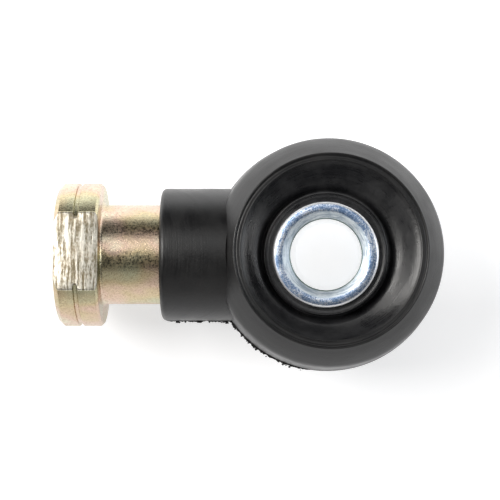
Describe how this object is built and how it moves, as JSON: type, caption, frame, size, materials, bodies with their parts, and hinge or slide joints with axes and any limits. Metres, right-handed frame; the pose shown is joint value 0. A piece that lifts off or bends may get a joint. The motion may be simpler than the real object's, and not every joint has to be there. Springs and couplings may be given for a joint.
{
  "type": "tie rod end",
  "caption": "Sealed ball-joint rod end: rubber-covered eye around a swivelling steel sleeve, on a neck that ends in a flatted collar with a left-hand threaded hole.",
  "frame": {"origin": "the centre of the ball, which is the centre of the eye", "axes": "+Z along the eye's axis towards its front face, neck and threaded collar out along -X, +Y across the eye; the sleeve rests leaned 4 degrees towards -X and 3.2 degrees towards -Y"},
  "size_m": [0.0731, 0.0444, 0.0332],
  "materials": {
    "yellow_zinc": "turned steel with an iridescent yellow zinc plating",
    "blue_zinc": "turned steel with a bright blue-white zinc plating",
    "bare_steel": "plain machined steel",
    "ball_steel": "ground and polished",
    "spring_steel": "oiled spring steel",
    "race_plastic": "moulded acetal",
    "cover_rubber": "matte moulded rubber, fine grained",
    "boot_rubber": "satin moulded rubber, faint concentric lines"
  },
  "bodies": {
    "housing": {"threaded_shank": "yellow_zinc", "weld_bead": "bare_steel", "eye_ring": "bare_steel", "rear_race": "race_plastic", "front_race": "race_plastic", "preload_washer": "spring_steel", "snap_ring": "spring_steel", "rubber_cover": "cover_rubber"},
    "boot": {"front_web": "boot_rubber", "rear_web": "boot_rubber"},
    "lips": {"front_lip": "boot_rubber", "rear_lip": "boot_rubber"},
    "swivel": {"ball": "ball_steel", "sleeve": "blue_zinc"}
  },
  "joints": [
    {"name": "sleeve_pitch", "type": "hinge", "parent": "housing", "child": "boot", "pos_m": [0, 0, 0], "axis": [0, 1, 0], "range_deg": [-8, 16], "deforming": ["front_web", "rear_web"]},
    {"name": "sleeve_roll", "type": "hinge", "parent": "boot", "child": "lips", "pos_m": [0, 0, 0], "axis": [0.9976, 0, 0.0698], "range_deg": [-15.2, 8.8]},
    {"name": "sleeve_spin", "type": "hinge", "parent": "lips", "child": "swivel", "pos_m": [0, 0, 0], "axis": [-0.0696, -0.0558, 0.996], "continuous": true}
  ]
}
